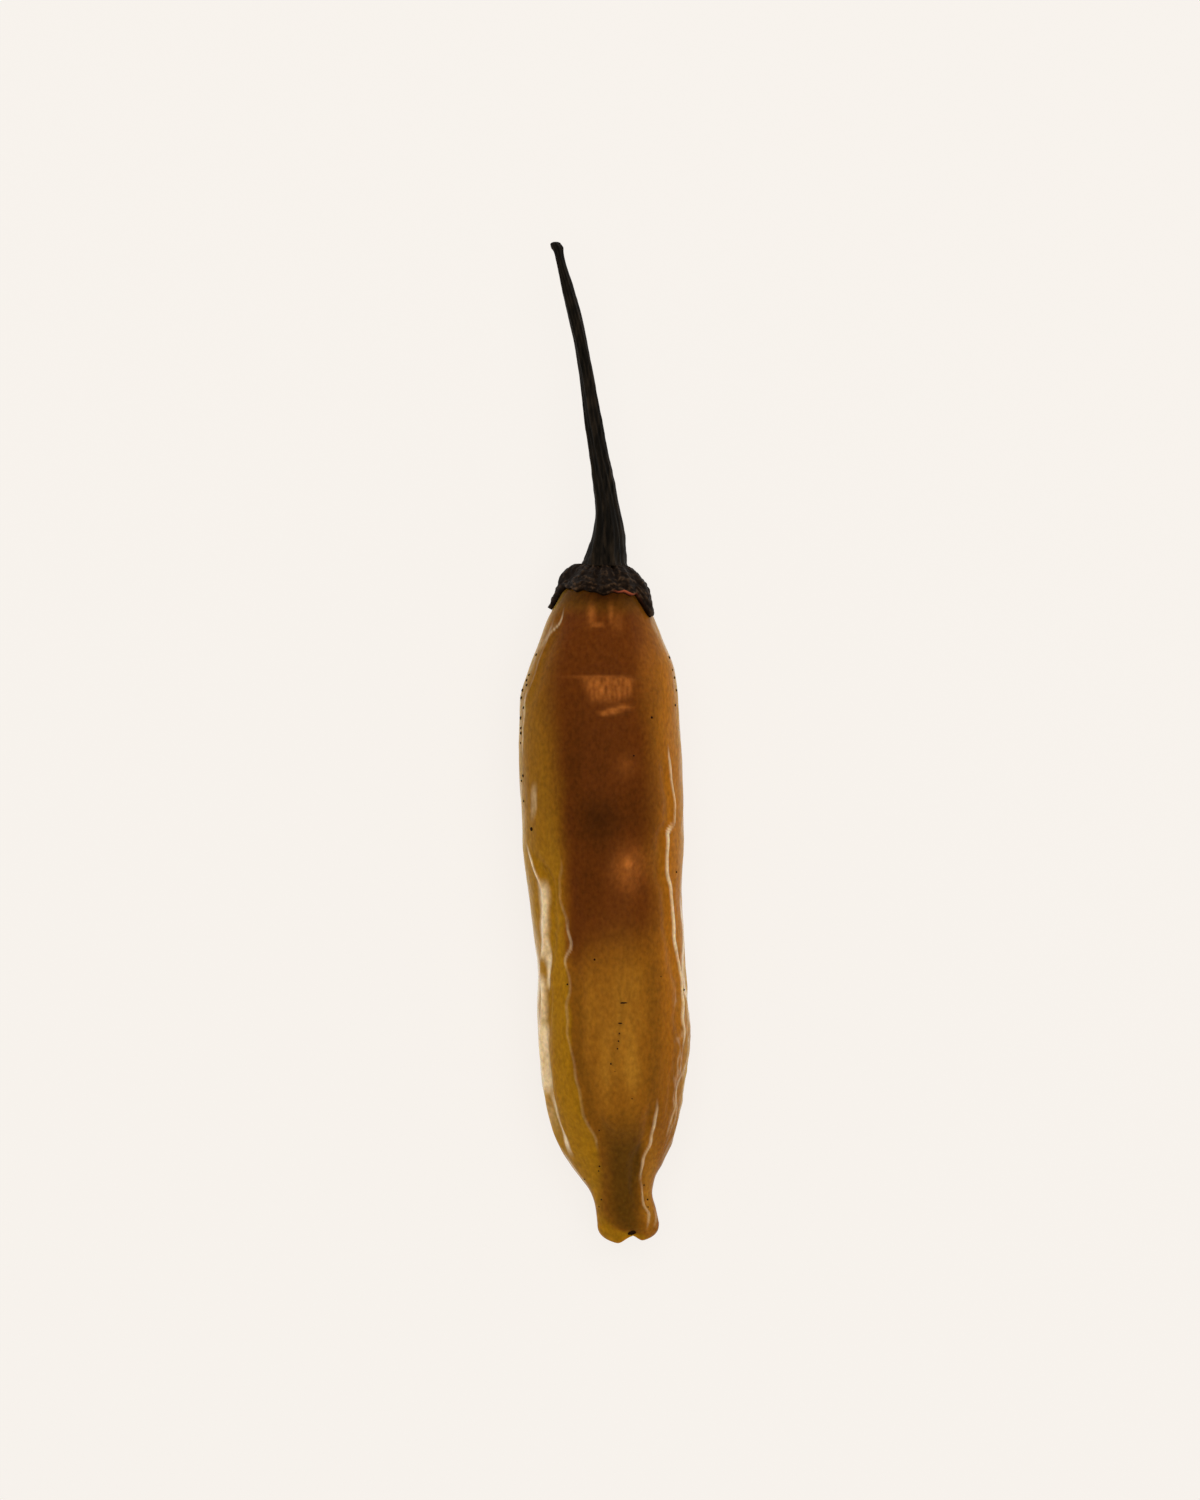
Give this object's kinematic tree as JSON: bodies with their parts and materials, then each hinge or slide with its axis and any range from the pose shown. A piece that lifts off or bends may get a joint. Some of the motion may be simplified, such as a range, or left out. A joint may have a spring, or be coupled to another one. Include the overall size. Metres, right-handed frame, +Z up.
{
  "type": "chilli pepper",
  "caption": "Ripe golden chilli pod with crinkled glossy skin, a narrow blunt tip, a dark dried calyx cap and a thin dried stem, lying on its side as picked.",
  "frame": {"origin": "middle of the whole chilli seen from above, on the surface that it lies on", "axes": "+Y along the pod towards the stem's cut end, +Z up away from the surface that it lies on, +X to the right seen from above with the stem away"},
  "size_m": [0.017, 0.1002, 0.0149],
  "materials": {
    "pod": "glossy translucent chilli skin, amber with olive flanks and a brown-red middle",
    "calyx": "dried, wrinkled, dark brown plant tissue",
    "stem": "dried, ribbed, dark brown plant tissue"
  },
  "bodies": {
    "root": {"pod": "pod", "calyx": "calyx", "stem": "stem"}
  },
  "joints": []
}
